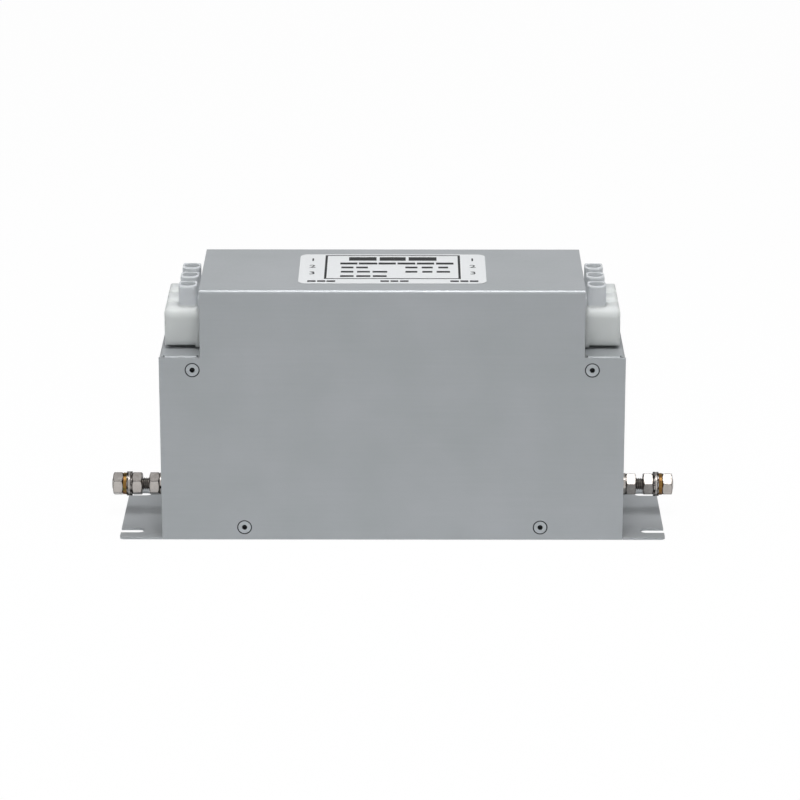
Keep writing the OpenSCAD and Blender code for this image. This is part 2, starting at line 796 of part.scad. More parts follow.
module discharge_resistors() {
    lift = 3;
    body = [4, 8];
    color("#b59a78") at_side("line") for (y = [-1.5, -0.5, 1.5])
        translate([tap_x, y * pole_pitch, board_top + lift]) {
            rotate([0, 90, 0]) cylinder(d = body[0], h = body[1], center = true);
            for (x = [-1, 1]) {
                translate([x * (body[1] / 2 + 1), 0, -lift]) cylinder(d = 0.8, h = lift + 0.4);
                translate([x * (body[1] / 2 + 0.5), 0, 0]) rotate([0, 90, 0])
                    cylinder(d = 0.8, h = 2.8, center = true);
            }
        }
}

// Output

base_plate();
cover();
cover_rivets();
rivet_mandrels();
rating_label();
choke_core();
core_case();
core_lid();
winding_1();
winding_2();
winding_3();
choke_saddle();
y_capacitor();
discharge_resistors();
board_pillars();
for (side = SIDES, pole = POLES) at_pole(side, pole) clamp_screw();  // clamp_screws

for (side = SIDES) {
    end_bracket(side);
    capacitor_board(side);
    x_capacitors(side);
    tap_wires(side);

    earth_bolt(side);
    color(steel) at_stud(side) for (z = [-sheet - washer_t, 0])
            translate([0, 0, z]) ring(2 * stud_d, washer_id, washer_t);
    color(steel) at_stud(side) translate([0, 0, washer_t]) spring_washer(1.8 * stud_d, washer_t);
    color(steel) at_stud(side, nut_turn(side)) translate([0, 0, lock_nut_x]) nut();
    color(steel) at_stud(side, nut_turn(side)) translate([0, 0, clamp_nut_x]) nut();
    color(steel) at_stud(side) for (z = [0, tooth_t + contact_washer_t])
            translate([0, 0, stack_x + z]) rotate(z > 0 ? 18 : 0) tooth_washer();
    color(steel) at_stud(side) translate([0, 0, stack_x + tooth_t])
            ring(2 * stud_d, washer_id, contact_washer_t);
    color(yellow_zinc) at_stud(side, 70)
            translate([0, 0, stack_x + 2 * tooth_t + contact_washer_t])
                spring_washer(1.8 * stud_d, lug_spring_t);
    color(steel) at_stud(side, nut_turn(side)) translate([0, 0, outer_nut_x]) nut();

    for (pole = POLES) {
        at_pole(side, pole) terminal_housing();
        at_pole(side, pole) terminal_cage();
        at_pole(side, pole) contact_bar();
    }
}
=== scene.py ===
import json
import math
import bmesh
import bpy
from mathutils import Matrix, Vector


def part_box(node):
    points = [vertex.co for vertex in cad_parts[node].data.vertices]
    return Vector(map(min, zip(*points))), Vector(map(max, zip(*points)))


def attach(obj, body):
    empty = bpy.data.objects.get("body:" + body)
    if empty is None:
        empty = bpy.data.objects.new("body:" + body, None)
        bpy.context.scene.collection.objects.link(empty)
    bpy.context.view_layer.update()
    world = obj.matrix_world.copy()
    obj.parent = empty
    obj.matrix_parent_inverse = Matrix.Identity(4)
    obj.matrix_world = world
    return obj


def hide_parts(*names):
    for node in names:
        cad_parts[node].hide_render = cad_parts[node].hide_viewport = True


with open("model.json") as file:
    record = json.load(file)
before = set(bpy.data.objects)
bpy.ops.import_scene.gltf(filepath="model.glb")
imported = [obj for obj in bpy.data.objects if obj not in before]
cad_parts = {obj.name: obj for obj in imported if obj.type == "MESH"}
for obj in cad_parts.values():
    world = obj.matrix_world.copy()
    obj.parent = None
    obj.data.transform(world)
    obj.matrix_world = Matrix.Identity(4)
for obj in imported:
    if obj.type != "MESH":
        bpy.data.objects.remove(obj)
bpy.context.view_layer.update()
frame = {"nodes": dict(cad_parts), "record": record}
nodes = frame["nodes"]
scene = bpy.context.scene
mm = 0.001
print("frame loaded with", len(nodes), "nodes")


def linear(hexText):
    # sRGB hex to the linear colour that shaders take
    parts = [int(hexText[i:i + 2], 16) / 255 for i in (1, 3, 5)]
    return tuple(c / 12.92 if c <= 0.04045 else ((c + 0.055) / 1.055) ** 2.4 for c in parts) + (1.0,)


def addNode(tree, kind, settings=None, inputs=None):
    # inputs holds plain values or sockets of earlier nodes
    node = tree.nodes.new(kind)
    for name, value in (settings or {}).items():
        setattr(node, name, value)
    for name, value in (inputs or {}).items():
        if isinstance(value, bpy.types.NodeSocket):
            tree.links.new(value, node.inputs[name])
        else:
            node.inputs[name].default_value = value
    return node


def newMaterial(name):
    material = bpy.data.materials.new(name)
    material.use_nodes = True
    material.node_tree.nodes.clear()
    return material, material.node_tree


def finishMaterial(tree, inputs):
    # the surface shader with everything that feeds it, and the output
    surface = addNode(tree, "ShaderNodeBsdfPrincipled", inputs=inputs).outputs[0]
    addNode(tree, "ShaderNodeOutputMaterial", inputs={"Surface": surface})


def objectPattern(tree, scale=(1, 1, 1)):
    coords = addNode(tree, "ShaderNodeTexCoord")
    return addNode(tree, "ShaderNodeMapping",
                   inputs={"Vector": coords.outputs["Object"], "Scale": scale}).outputs[0]


def compute(tree, operation, a, b=0.0, c=0.0):
    return addNode(tree, "ShaderNodeMath", settings={"operation": operation},
                   inputs={0: a, 1: b, 2: c}).outputs[0]


def split(tree, vector):
    return addNode(tree, "ShaderNodeSeparateXYZ", inputs={"Vector": vector}).outputs


def join(tree, x=0.0, y=0.0, z=0.0):
    return addNode(tree, "ShaderNodeCombineXYZ", inputs={"X": x, "Y": y, "Z": z}).outputs[0]


def noise(tree, vector, size, detail=2.0, roughness=0.5):
    # size is that of one patch
    return addNode(tree, "ShaderNodeTexNoise",
                   inputs={"Vector": vector, "Scale": 1 / size, "Detail": detail,
                           "Roughness": roughness}).outputs["Fac"]


def fineNoise(tree, vector, size):
    return noise(tree, vector, size, 3.0, 0.6)


def span(tree, value, low, high, fromLow=0.3, fromHigh=0.7):
    # the defaults are the range that noise mostly keeps to
    return addNode(tree, "ShaderNodeMapRange",
                   inputs={"Value": value, "From Min": fromLow, "From Max": fromHigh,
                           "To Min": low, "To Max": high}).outputs[0]


def blendColours(tree, factor, *stops):
    # stops are pairs of a position and a colour, in rising order
    ramp = addNode(tree, "ShaderNodeValToRGB", inputs={"Fac": factor})
    elements = ramp.color_ramp.elements
    for position, _ in stops[1:-1]:
        elements.new(position)
    for element, (position, colour) in zip(elements, stops):
        element.position = position
        element.color = linear(colour)
    return ramp.outputs["Color"]


def twoTones(tree, texture, dark, light):
    return blendColours(tree, texture, (0.3, dark), (0.7, light))


def mixColours(tree, factor, first, second):
    return addNode(tree, "ShaderNodeMix", settings={"data_type": "RGBA"},
                   inputs={"Factor": factor, "A": first, "B": second}).outputs["Result"]


def bump(tree, height, distance, strength, normal):
    return addNode(tree, "ShaderNodeBump",
                   inputs={"Height": height, "Distance": distance, "Strength": strength,
                           "Normal": normal}).outputs[0]


def softEdges(tree, radius, samples=6):
    # rounds the look of a sharp modelled edge by the radius that tumbling or pressing leaves
    return addNode(tree, "ShaderNodeBevel", settings={"samples": samples},
                   inputs={"Radius": radius}).outputs[0]


def toolMarks(tree, place, look):
    # fine marks that follow no direction, over softened edges
    marks = noise(tree, place, look["marks"])
    return bump(tree, marks, look["marksDepth"], look["marksBump"], softEdges(tree, look["edge"]))


def rivetDistance(tree, place):
    # distance from the nearest rivet's axis, on the front and back walls
    spots = {"ledge": (94.3 * mm, 85.2 * mm), "base": (70.6 * mm, 6.2 * mm)}
    axes = split(tree, place)
    across = compute(tree, "ABSOLUTE", axes["X"])
    away = []
    for x, z in spots.values():
        sideways = compute(tree, "POWER", compute(tree, "SUBTRACT", across, x), 2.0)
        upwards = compute(tree, "POWER", compute(tree, "SUBTRACT", axes["Z"], z), 2.0)
        away.append(compute(tree, "SQRT", compute(tree, "ADD", sideways, upwards)))
    return compute(tree, "MINIMUM", away[0], away[1])


def zincSheetMaterial():
    # Electro-galvanised steel sheet: an even satin grey with faint rolling streaks along
    # the coil, and the grain of the zinc, which is drawn three times too coarse to show.
    # The countersinks round the rivets are painted dark as painted shade in the recess.
    look = {"light": "#a9acaf", "dark": "#a2a6a8", "metallic": 0.3, "rough": (0.3, 0.37),
            "cloud": 35 * mm, "cloudShare": (0.2, 0.55),
            "streak": 1.2 * mm, "streakLength": 40 * mm, "streakShare": 0.25,
            "streakDepth": 0.01 * mm, "streakBump": 0.08,
            "grain": 0.9 * mm, "grainDepth": 0.02 * mm, "grainBump": 0.35, "edge": 0.25 * mm,
            "sink": "#2a2c2e", "sinkEdge": 3.6 * mm, "sinkFade": 0.12 * mm}
    material, tree = newMaterial("satinZincSheet")
    place = objectPattern(tree)
    grain = fineNoise(tree, place, look["grain"])
    cloud = noise(tree, place, look["cloud"])
    stretched = objectPattern(tree, (1 / look["streakLength"], 1 / look["streak"], 1 / look["streak"]))
    streak = noise(tree, stretched, 1.0)
    tone = compute(tree, "MULTIPLY_ADD", streak, look["streakShare"],
                   span(tree, cloud, *look["cloudShare"]))
    sheet = twoTones(tree, tone, look["dark"], look["light"])
    # painted shade: the zinc is darkened within the countersink ring round each rivet
    inSinkShade = span(tree, rivetDistance(tree, place), 1.0, 0.0,
                  look["sinkEdge"] - look["sinkFade"], look["sinkEdge"])
    normal = bump(tree, grain, look["grainDepth"], look["grainBump"], softEdges(tree, look["edge"]))
    normal = bump(tree, streak, look["streakDepth"], look["streakBump"], normal)
    finishMaterial(tree, {
        "Base Color": mixColours(tree, inSinkShade, sheet, linear(look["sink"])),
        "Metallic": look["metallic"], "Roughness": span(tree, grain, *look["rough"]),
        "Normal": normal})
    return material


def clampSteelMaterial():
    # Nickel-plated cages, screws and bars of the terminals
    look = {"light": "#c4bfba", "dark": "#b2ada8", "wear": 2.5 * mm, "rough": (0.25, 0.36),
            "marks": 0.35 * mm, "marksDepth": 0.008 * mm, "marksBump": 0.3, "edge": 0.12 * mm}
    material, tree = newMaterial("nickelPlatedClamp")
    place = objectPattern(tree)
    wear = fineNoise(tree, place, look["wear"])
    finishMaterial(tree, {
        "Base Color": twoTones(tree, wear, look["dark"], look["light"]), "Metallic": 1.0,
        "Roughness": span(tree, wear, *look["rough"]), "Normal": toolMarks(tree, place, look)})
    return material


def earthHardwareMaterial():
    # Nickel-plated studs, nuts and washers: bright flats, with painted shade along their edges,
    # in the corners between them and in the roots of the thread.
    look = {"light": "#c3bdb8", "dark": "#b4ada7", "wear": 2.5 * mm, "rough": (0.18, 0.26),
            "edgeShade": "#2b2826", "edgeShadeWidth": 0.75 * mm, "shadeDepth": 0.9, "edgeShadeSamples": 8,
            "edgeShadeFrom": 0.9, "edgeShadeTo": 0.995, "crest": 2.68 * mm, "root": 2.44 * mm,
            "marks": 0.35 * mm, "marksDepth": 0.006 * mm, "marksBump": 0.2, "edge": 0.18 * mm}
    low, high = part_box("earth_bolt_line")
    axisZ = (low.z + high.z) / 2
    material, tree = newMaterial("nickelPlatedSteel")
    place = objectPattern(tree)
    wear = fineNoise(tree, place, look["wear"])
    plating = twoTones(tree, wear, look["dark"], look["light"])
    rounded = softEdges(tree, look["edgeShadeWidth"], look["edgeShadeSamples"])
    facet = addNode(tree, "ShaderNodeNewGeometry").outputs["Normal"]
    # 1 where the surface is flat, less beside an edge
    agree = addNode(tree, "ShaderNodeVectorMath", settings={"operation": "DOT_PRODUCT"},
                    inputs={0: rounded, 1: facet}).outputs["Value"]
    # painted shade along the edges and in the corners between faces
    edgeShade = span(tree, agree, look["shadeDepth"], 0.0, look["edgeShadeFrom"], look["edgeShadeTo"])
    axes = split(tree, place)
    rise = compute(tree, "POWER", compute(tree, "SUBTRACT", axes["Z"], axisZ), 2.0)
    fromAxis = compute(tree, "SQRT", compute(tree, "MULTIPLY_ADD", axes["Y"], axes["Y"], rise))
    # painted shade in the roots of the thread, by distance from the stud's axis
    root = span(tree, fromAxis, look["shadeDepth"], 0.0, look["root"], look["crest"])
    shade = compute(tree, "MAXIMUM", edgeShade, root)
    finishMaterial(tree, {
        "Base Color": mixColours(tree, shade, plating, linear(look["edgeShade"])), "Metallic": 1.0,
        "Roughness": span(tree, wear, *look["rough"]), "Normal": toolMarks(tree, place, look)})
    return material


def rivetMaterial():
    # Zinc-plated rivet: a satin face; the groove round it, the bore and the broken mandrel
    # below the face are painted dark as painted shade in the recess.
    look = {"light": "#b4b8ba", "dark": "#a6aaad", "wear": 2.5 * mm, "metallic": 0.7,
            "rough": (0.3, 0.4), "recessShade": "#141516", "recessShadeFrom": 34.86 * mm, "recessShadeTo": 34.92 * mm,
            "marks": 0.35 * mm, "marksDepth": 0.008 * mm, "marksBump": 0.3, "edge": 0.1 * mm}
    material, tree = newMaterial("zincPlatedRivet")
    place = objectPattern(tree)
    wear = fineNoise(tree, place, look["wear"])
    face = twoTones(tree, wear, look["dark"], look["light"])
    outwards = compute(tree, "ABSOLUTE", split(tree, place)["Y"])
    # painted shade: everything sunk below the rivet's face is darkened
    recessShade = span(tree, outwards, 1.0, 0.0, look["recessShadeFrom"], look["recessShadeTo"])
    finishMaterial(tree, {
        "Base Color": mixColours(tree, recessShade, face, linear(look["recessShade"])),
        "Metallic": look["metallic"], "Roughness": span(tree, wear, *look["rough"]),
        "Normal": toolMarks(tree, place, look)})
    return material


def yellowZincMaterial():
    # Yellow-chromated zinc: golden, drifting to pink and green where the film is thinner
    look = {"rose": (0.32, "#7a553c"), "gold": (0.5, "#8a6834"), "green": (0.7, "#6b6438"),
            "drift": 3 * mm, "metallic": 0.9, "rough": (0.24, 0.34),
            "marks": 0.4 * mm, "marksDepth": 0.01 * mm, "marksBump": 0.3, "edge": 0.15 * mm}
    material, tree = newMaterial("yellowChromatedZinc")
    place = objectPattern(tree)
    drift = noise(tree, place, look["drift"])
    finishMaterial(tree, {
        "Base Color": blendColours(tree, drift, look["rose"], look["gold"], look["green"]),
        "Metallic": look["metallic"], "Roughness": span(tree, drift, *look["rough"]),
        "Normal": toolMarks(tree, place, look)})
    return material


def nylonMaterial():
    # Natural nylon as moulded: milky white and a little translucent, with a fine spark-eroded mould
    # grain and soft edges. The thin hollow towers are painted greyer with a painted glow in place of
    # the light that comes through their walls, and their top rims are painted darker as painted shade.
    look = {"body": "#d1d4d3", "tower": "#b3b6b9", "rim": "#7d8082",
            "towerFrom": 111.5 * mm, "towerTo": 113 * mm, "rimFrom": 123.4 * mm, "rimTo": 124.1 * mm,
            "rough": (0.34, 0.42), "towerRough": 0.2, "rimRough": 0.25,
            "bodyEdge": 3.2 * mm, "towerEdge": 0.5 * mm,
            "grain": 0.5 * mm, "grainDepth": 0.012 * mm, "grainBump": 0.35,
            "glow": "#eef2f5", "paintedGlowStrength": 0.12, "milk": 0.6, "milkDepth": 3 * mm,
            "milkTint": (1.0, 1.0, 0.95), "ior": 1.53, "specular": 0.3}
    material, tree = newMaterial("naturalNylon")
    place = objectPattern(tree)
    height = split(tree, place)["Z"]
    tower = span(tree, height, 0.0, 1.0, look["towerFrom"], look["towerTo"])
    rim = span(tree, height, 0.0, 1.0, look["rimFrom"], look["rimTo"])
    # painted shade: the towers take a greyer copy of the body's tone, and their rims a darker one still
    paintedTowerShade = mixColours(tree, rim, linear(look["tower"]), linear(look["rim"]))
    edge = span(tree, tower, look["bodyEdge"], look["towerEdge"], 0.0, 1.0)
    grain = noise(tree, place, look["grain"])
    satin = compute(tree, "MULTIPLY_ADD", tower, look["towerRough"], span(tree, grain, *look["rough"]))
    finishMaterial(tree, {
        "Base Color": mixColours(tree, tower, linear(look["body"]), paintedTowerShade),
        "Roughness": compute(tree, "MULTIPLY_ADD", rim, look["rimRough"], satin),
        # painted glow on the towers, in place of the light that comes through their walls
        "Emission Color": linear(look["glow"]),
        "Emission Strength": compute(tree, "MULTIPLY", tower, look["paintedGlowStrength"]),
        "Subsurface Weight": look["milk"], "Subsurface Radius": look["milkTint"],
        "Subsurface Scale": look["milkDepth"],
        "IOR": look["ior"], "Specular IOR Level": look["specular"],
        "Normal": bump(tree, grain, look["grainDepth"], look["grainBump"], softEdges(tree, edge))})
    return material


def plainMaterial(name, light, dark, roughness, grain, depth, metallic=0.0, edge=0.2 * mm):
    # Mouldings, laminates, ceramics and wire: two close tones and a grain of the given size
    look = {"spread": 0.05, "grainBump": 0.5, "ior": 1.5}
    material, tree = newMaterial(name)
    texture = fineNoise(tree, objectPattern(tree), grain)
    finishMaterial(tree, {
        "Base Color": twoTones(tree, texture, dark, light), "Metallic": metallic,
        "Roughness": span(tree, texture, roughness - look["spread"], roughness + look["spread"]),
        "Normal": bump(tree, texture, depth, look["grainBump"], softEdges(tree, edge)),
        "IOR": look["ior"]})
    return material


materials = {
    "zinc_sheet": zincSheetMaterial(),
    "nickel_steel": earthHardwareMaterial(),
    "clamp_steel": clampSteelMaterial(),
    "rivet_steel": rivetMaterial(),
    "yellow_zinc": yellowZincMaterial(),
    "terminal_nylon": nylonMaterial(),
    # polyester label film: bright white with a slight gloss
    "label_film": plainMaterial("whiteLabelFilm", "#d9dbdc", "#d5d7d8", 0.42, 1.5 * mm, 0.004 * mm,
                                edge=0.05 * mm),
    # thinly tinned copper bar and wire: the copper's colour shows through
    "bare_copper": plainMaterial("tinnedCopper", "#c99a7a", "#b98a6c", 0.35, 1.0 * mm, 0.01 * mm, 0.9),
    # polyurethane-enamelled magnet wire: a clear red-brown gloss over copper
    "enamelled_copper": plainMaterial("enamelledWire", "#a85a32", "#96492a", 0.28,
                                      2.0 * mm, 0.01 * mm, 0.6),
    "core_alloy": plainMaterial("nanocrystallineCore", "#5a5d61", "#46494d", 0.45,
                                0.8 * mm, 0.02 * mm, 0.8),
    "case_plastic": plainMaterial("greenCoreCase", "#2f7350", "#286546", 0.45, 1.0 * mm, 0.01 * mm),
    "saddle_plastic": plainMaterial("blackNylonSaddle", "#26282b", "#1e2023", 0.5, 0.8 * mm, 0.02 * mm),
    "board_laminate": plainMaterial("glassEpoxyBoard", "#3b6b48", "#315c3d", 0.4, 0.7 * mm, 0.01 * mm),
    "capacitor_yellow": plainMaterial("yellowCapacitorCase", "#d9b23c", "#cda632", 0.35,
                                      1.2 * mm, 0.01 * mm),
    "capacitor_blue": plainMaterial("blueDippedCapacitor", "#3a66a8", "#305894", 0.3, 1.2 * mm, 0.02 * mm),
    "resistor_ceramic": plainMaterial("lacqueredResistor", "#b89b74", "#aa8d68", 0.45, 0.6 * mm, 0.02 * mm),
    "pillar_nylon": plainMaterial("nylonPillar", "#e6e6de", "#dcdcd4", 0.45, 0.8 * mm, 0.01 * mm),
}
# printing ink: dense black, flatter than the film under it
inkMaterial = plainMaterial("blackLabelInk", "#1c1d1f", "#151617", 0.6, 0.5 * mm, 0.002 * mm,
                            edge=0.02 * mm)
print("materials made:", len(materials) + 1)

slotOf = {row["node"]: row["material_slot"] for row in frame["record"]["subparts"]}
for name, piece in nodes.items():
    piece.data.materials.clear()
    piece.data.materials.append(materials[slotOf[name]])


def newTree(name, numbers):
    # a geometry tree with named number inputs and a material input
    tree = bpy.data.node_groups.new(name, "GeometryNodeTree")
    tree.interface.new_socket("Geometry", in_out="INPUT", socket_type="NodeSocketGeometry")
    for label, kind in numbers.items():
        tree.interface.new_socket(label, in_out="INPUT", socket_type=kind)
    tree.interface.new_socket("Material", in_out="INPUT", socket_type="NodeSocketMaterial")
    tree.interface.new_socket("Geometry", in_out="OUTPUT", socket_type="NodeSocketGeometry")
    return tree, addNode(tree, "NodeGroupInput").outputs


def closeTree(tree, geometry, material):
    real = addNode(tree, "GeometryNodeRealizeInstances", inputs={"Geometry": geometry}).outputs[0]
    painted = addNode(tree, "GeometryNodeSetMaterial",
                      inputs={"Geometry": real, "Material": material}).outputs[0]
    addNode(tree, "NodeGroupOutput", inputs={0: painted})


def growMesh(tree, values, name):
    # runs a geometry tree on an empty mesh and keeps the result as a plain mesh
    host = bpy.data.objects.new("host", bpy.data.meshes.new("host"))
    scene.collection.objects.link(host)
    modifier = host.modifiers.new("tree", "NODES")
    modifier.node_group = tree
    for item in tree.interface.items_tree:
        if item.in_out == "INPUT" and item.name in values:
            modifier[item.identifier] = values[item.name]
    graph = bpy.context.evaluated_depsgraph_get()
    mesh = bpy.data.meshes.new_from_object(host.evaluated_get(graph))
    bpy.data.objects.remove(host)
    mesh.name = name
    return mesh


def addPiece(name, mesh):
    piece = bpy.data.objects.new(name, mesh)
    scene.collection.objects.link(piece)
    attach(piece, "root")
    return piece


def rolledThreadTree():
    # A rod along +X whose surface rises and falls along a helix, as a rolled thread does
    tree, given = newTree("rolledThread", {
        "Length": "NodeSocketFloat", "Radius": "NodeSocketFloat", "Pitch": "NodeSocketFloat",
        "Depth": "NodeSocketFloat", "Chamfer": "NodeSocketFloat", "Sides": "NodeSocketInt",
        "Rings": "NodeSocketInt"})
    # shares of a turn: the thread is flat up to the first, its crest, and past the second
    crest, root = 0.07, 0.43
    line = addNode(tree, "GeometryNodeCurvePrimitiveLine",
                   inputs={"End": join(tree, given["Length"])}).outputs[0]
    rings = addNode(tree, "GeometryNodeResampleCurve",
                    inputs={"Curve": line, "Count": given["Rings"]}).outputs[0]
    profile = addNode(tree, "GeometryNodeCurvePrimitiveCircle",
                      inputs={"Resolution": given["Sides"], "Radius": given["Radius"]}).outputs[0]
    rod = addNode(tree, "GeometryNodeCurveToMesh",
                  inputs={"Curve": rings, "Profile Curve": profile, "Fill Caps": True}).outputs[0]
    spot = split(tree, addNode(tree, "GeometryNodeInputPosition").outputs[0])
    angle = compute(tree, "ARCTAN2", spot["Z"], spot["Y"])
    turns = compute(tree, "DIVIDE", spot["X"], given["Pitch"])
    winding = compute(tree, "MULTIPLY_ADD", angle, -1 / (2 * math.pi), turns)
    wave = compute(tree, "PINGPONG", winding, 0.5)
    flank = span(tree, wave, 0.0, given["Depth"], crest, root)
    toEnd = compute(tree, "SUBTRACT", given["Length"], spot["X"])
    bevel = compute(tree, "MAXIMUM", compute(tree, "SUBTRACT", given["Chamfer"], toEnd), 0.0)
    drop = compute(tree, "MAXIMUM", flank, bevel)
    shrink = compute(tree, "SUBTRACT", 1.0, compute(tree, "DIVIDE", drop, given["Radius"]))
    moved = join(tree, spot["X"], compute(tree, "MULTIPLY", spot["Y"], shrink),
                 compute(tree, "MULTIPLY", spot["Z"], shrink))
    shaped = addNode(tree, "GeometryNodeSetPosition",
                     inputs={"Geometry": rod, "Position": moved}).outputs[0]
    closeTree(tree, shaped, given["Material"])
    return tree


def hexHead(shape, across, height, start):
    # a chamfered six-sided head from x = start down to x = start - height
    sixth = math.pi / 3
    corner = across / 2 / math.cos(sixth / 2)
    underFace, topFace, flank = across * 0.48, across * 0.47, height * 0.88
    outline = ((start, underFace), (start, corner), (start - flank, corner), (start - height, topFace))
    rings = [[shape.verts.new((x, r * math.cos(sixth * k), r * math.sin(sixth * k))) for k in range(6)]
             for x, r in outline]
    for low, high in zip(rings, rings[1:]):
        for k in range(6):
            shape.faces.new((low[k], low[(k + 1) % 6], high[(k + 1) % 6], high[k]))
    shape.faces.new(rings[0])
    shape.faces.new(rings[-1])


def earthStuds():
    # the stud's thread shows between the nuts and at its end; the head is inside the housing
    stud = {"radius": 2.95 * mm, "pitch": 1.0 * mm, "depth": 0.5 * mm, "chamfer": 0.5 * mm,
            "sides": 40, "ringsPerPitch": 10, "headHeight": 4 * mm, "acrossFlats": 10 * mm,
            "largestSmooth": 1e-6}  # square metres: above the thread's faces, below the head's
    tree = rolledThreadTree()
    for side in ("line", "load"):
        low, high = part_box("earth_bolt_" + side)
        wallLow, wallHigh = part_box("earth_wall_washers_" + side)
        out = 1 if side == "load" else -1
        axisZ = (low.z + high.z) / 2
        headUnder = wallLow.x if out > 0 else -wallHigh.x
        tip = high.x if out > 0 else -low.x
        length = tip - headUnder
        mesh = growMesh(tree, {
            "Length": length, "Radius": stud["radius"], "Pitch": stud["pitch"], "Depth": stud["depth"],
            "Chamfer": stud["chamfer"], "Sides": stud["sides"],
            "Rings": int(length / stud["pitch"] * stud["ringsPerPitch"]),
            "Material": materials["nickel_steel"]},
            "earthStud_" + side)
        shape = bmesh.new()
        shape.from_mesh(mesh)
        hexHead(shape, stud["acrossFlats"], stud["headHeight"], 0)
        bmesh.ops.recalc_face_normals(shape, faces=shape.faces)
        for face in shape.faces:
            face.smooth = len(face.verts) == 4 and face.calc_area() < stud["largestSmooth"]
        shape.to_mesh(mesh)
        shape.free()
        turn = Matrix.Identity(4) if out > 0 else Matrix.Rotation(math.pi, 4, "Z")
        mesh.transform(turn @ Matrix.Translation((headUnder, 0, 0)))
        mesh.transform(Matrix.Translation((0, 0, axisZ)))
        piece = addPiece("earthStud_" + side, mesh)
        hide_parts("earth_bolt_" + side)
    print("earth studs made")


def rectangle(shape, x0, y0, x1, y1, z):
    shape.faces.new([shape.verts.new((x, y, z)) for x, y in ((x0, y0), (x1, y0), (x1, y1), (x0, y1))])


def printedRowTree():
    # word-long blocks of ink in a row, in place of the small print
    tree, given = newTree("printedRow", {
        "Words": "NodeSocketInt", "Step": "NodeSocketFloat", "Height": "NodeSocketFloat",
        "Shortest": "NodeSocketFloat", "Longest": "NodeSocketFloat", "Seed": "NodeSocketInt"})
    line = addNode(tree, "GeometryNodeMeshLine",
                   inputs={"Count": given["Words"], "Offset": join(tree, given["Step"])}).outputs[0]
    block = addNode(tree, "GeometryNodeMeshGrid", inputs={
        "Size X": 1.0, "Size Y": 1.0, "Vertices X": 2, "Vertices Y": 2}).outputs[0]
    width = addNode(tree, "FunctionNodeRandomValue", inputs={
        "Min": given["Shortest"], "Max": given["Longest"], "Seed": given["Seed"]}).outputs["Value"]
    row = addNode(tree, "GeometryNodeInstanceOnPoints", inputs={
        "Points": line, "Instance": block, "Scale": join(tree, width, given["Height"], 1.0)}).outputs[0]
    closeTree(tree, row, given["Material"])
    return tree


def digitMesh(text, size, bold, x, y, z):
    curve = bpy.data.curves.new("digit", "FONT")
    curve.body = text
    curve.size = size
    curve.align_x = "CENTER"
    curve.align_y = "CENTER"
    curve.offset = size * bold
    host = bpy.data.objects.new("digit", curve)
    scene.collection.objects.link(host)
    graph = bpy.context.evaluated_depsgraph_get()
    mesh = bpy.data.meshes.new_from_object(host.evaluated_get(graph))
    bpy.data.objects.remove(host)
    mesh.transform(Matrix.Translation((x, y, z)))
    return mesh


def labelPrint():
    # a plain frame, pole numbers at both ends and unreadable rows of ink blocks
    ink = {"lift": 0.02 * mm, "frameHalf": 32.4 * mm, "frameFront": -17.0 * mm, "frameBack": 22.6 * mm,
           "line": 1.1 * mm, "digitX": 38.3 * mm, "digitSize": 6.4 * mm, "digitBold": 0.012,
           "digitRows": (14.8 * mm, 3.6 * mm, -7.4 * mm), "seed": 4}
    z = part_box("rating_label")[1].z + ink["lift"]
    shape = bmesh.new()
    half, front, back, line = ink["frameHalf"], ink["frameFront"], ink["frameBack"], ink["line"]
    rectangle(shape, -half, front, half, front + line, z)
    rectangle(shape, -half, back - line, half, back, z)
    rectangle(shape, -half, front + line, -half + line, back - line, z)
    rectangle(shape, half - line, front + line, half, back - line, z)
    for number, y in enumerate(ink["digitRows"], 1):
        for x in (-ink["digitX"], ink["digitX"]):
            shape.from_mesh(digitMesh(str(number), ink["digitSize"], ink["digitBold"], x, y, z))
    # rows: first block's x, y, words, step, block height, shortest and longest block
    rows = [(-14.4, 16.4, 3, 14.4, 6.0, 12.4, 13.6), (-21.0, 8.6, 6, 9.2, 3.2, 7.6, 8.8),
            (-21.6, 2.0, 2, 7.0, 2.8, 5.0, 6.2), (9.0, 2.0, 3, 7.6, 2.8, 4.6, 6.2),
            (-21.6, -5.2, 3, 7.8, 2.8, 5.6, 7.0), (9.0, -5.2, 3, 7.6, 2.8, 4.8, 6.4),
            (-21.6, -12.4, 3, 7.8, 2.8, 5.6, 7.0), (-38.2, -20.6, 3, 4.6, 2.4, 3.6, 4.2),
            (-3.6, -20.6, 3, 4.6, 2.4, 3.6, 4.2), (29.4, -20.6, 3, 4.6, 2.4, 3.6, 4.2)]
    tree = printedRowTree()
    for index, (x, y, words, step, height, shortest, longest) in enumerate(rows):
        mesh = growMesh(tree, {
            "Words": words, "Step": step * mm, "Height": height * mm, "Shortest": shortest * mm,
            "Longest": longest * mm, "Seed": ink["seed"] + index, "Material": inkMaterial}, "row")
        mesh.transform(Matrix.Translation((x * mm, y * mm, z)))
        shape.from_mesh(mesh)
    for face in shape.faces:
        face.material_index = 0
        if face.normal.z < 0:
            face.normal_flip()
    mesh = bpy.data.meshes.new("labelPrint")
    shape.to_mesh(mesh)
    shape.free()
    mesh.materials.append(inkMaterial)
    addPiece("labelPrint", mesh)
    print("label printed")


earthStuds()
labelPrint()


